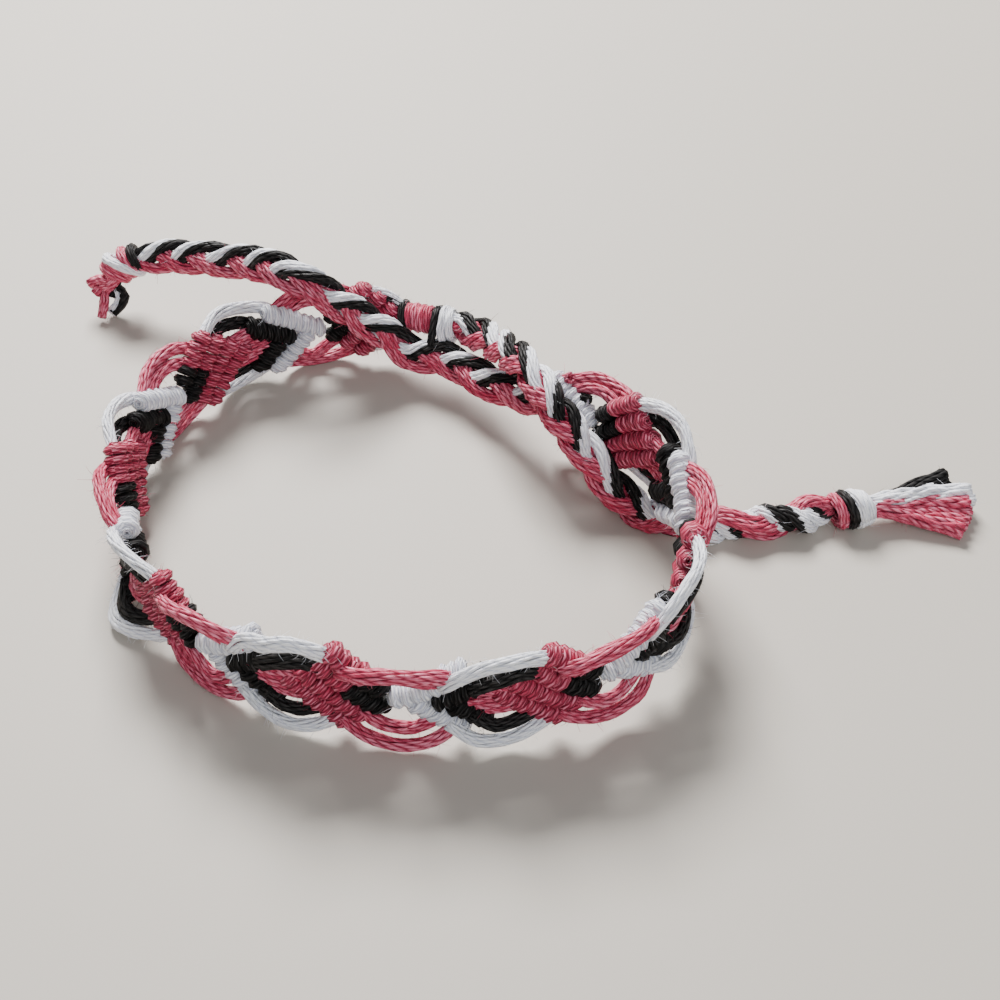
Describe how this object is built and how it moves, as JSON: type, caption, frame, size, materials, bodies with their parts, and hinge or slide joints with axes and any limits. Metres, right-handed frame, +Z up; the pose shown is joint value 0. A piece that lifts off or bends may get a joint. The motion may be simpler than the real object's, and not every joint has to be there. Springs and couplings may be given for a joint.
{
  "type": "friendship bracelet",
  "caption": "Knotted cotton friendship bracelet: an openwork band with diamonds and V shapes, closed to a loop by two braided ties with a joining knot and tassels.",
  "frame": {"origin": "middle of the band's bounding box, on the surface that the bracelet stands on", "axes": "+Z up, +X from the left tassel towards the right tassel, +Y away from the viewer towards the joining knot"},
  "size_m": [0.0996, 0.0699, 0.0148],
  "materials": {
    "pink_floss": "knotted cotton floss with a soft sheen",
    "white_floss": "white cotton floss",
    "black_floss": "black cotton floss"
  },
  "bodies": {
    "root": {"knotted_band": "pink_floss", "left_tie": "pink_floss", "right_tie": "pink_floss", "joining_knot": "black_floss", "left_tassel": "white_floss", "right_tassel": "pink_floss"}
  },
  "joints": []
}
